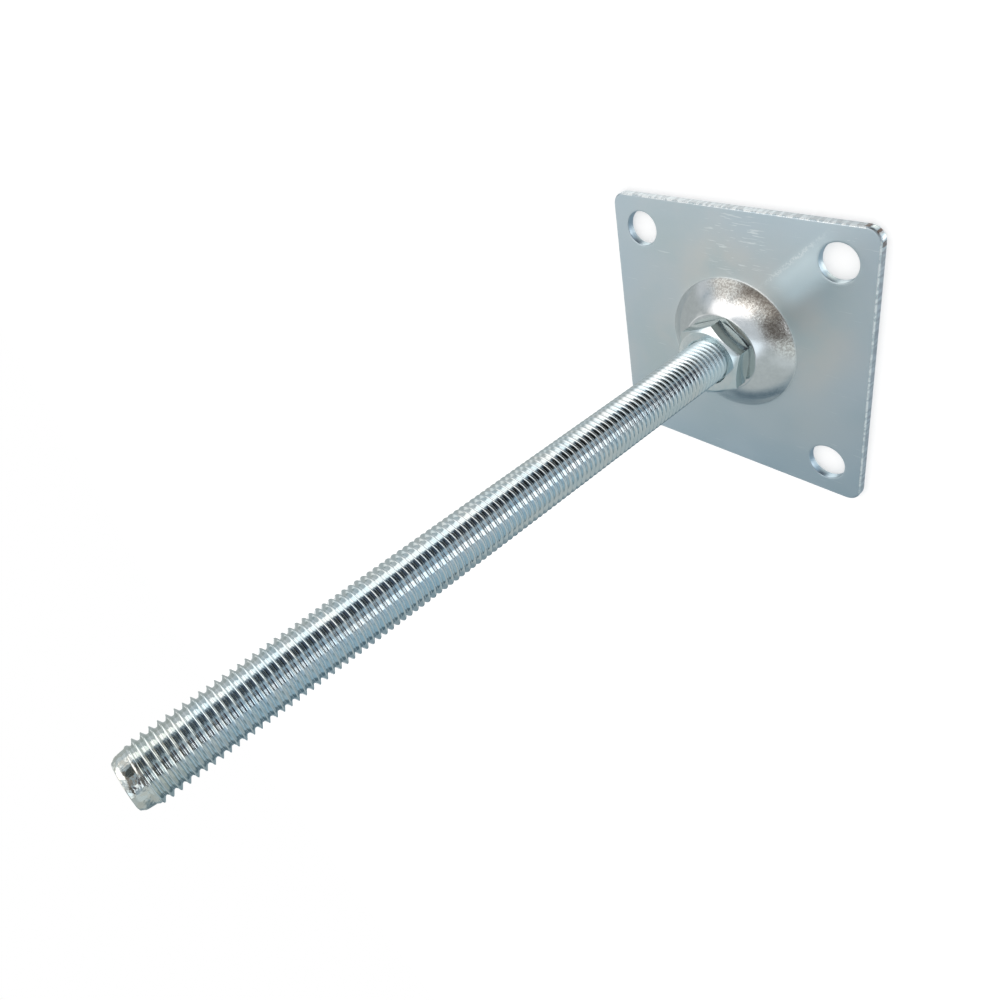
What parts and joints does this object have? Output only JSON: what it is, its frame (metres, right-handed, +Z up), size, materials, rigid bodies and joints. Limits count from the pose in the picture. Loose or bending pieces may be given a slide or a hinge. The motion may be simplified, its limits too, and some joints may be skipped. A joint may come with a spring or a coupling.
{
  "type": "adjustable post base",
  "caption": "Square steel base plate with a pressed dome, an upright threaded rod held in the dome, and a thin hexagon nut on the rod, for a height-adjustable post.",
  "frame": {"origin": "centre of the plate's underside, where it rests on the footing", "axes": "+Z up the rod towards its free end, +X and +Y along the plate's sides"},
  "size_m": [0.1, 0.1, 0.2278],
  "materials": {
    "plate_zinc": "bright zinc-plated sheet steel, slightly hazy, with faint rolling streaks and handling marks",
    "rod_zinc": "bright zinc-plated rolled thread with a bluish tone",
    "nut_zinc": "bright zinc-plated, with turned bevels"
  },
  "bodies": {
    "base": {"base_plate": "plate_zinc"},
    "rod": {"threaded_rod": "rod_zinc"},
    "nut": {"lock_nut": "nut_zinc"}
  },
  "joints": [
    {"name": "rod_turn", "type": "hinge", "parent": "base", "child": "rod", "pos_m": [0, 0, 0], "axis": [0, 0, -1], "range_deg": [0, 36000]},
    {"name": "nut_travel", "type": "slide", "parent": "base", "child": "nut", "axis": [0, 0, 1], "range_m": [0, 0.2001]}
  ],
  "couplings": [
    {"joint": "nut_travel", "follows": "rod_turn", "m_per_rad": 0.00031831}
  ]
}
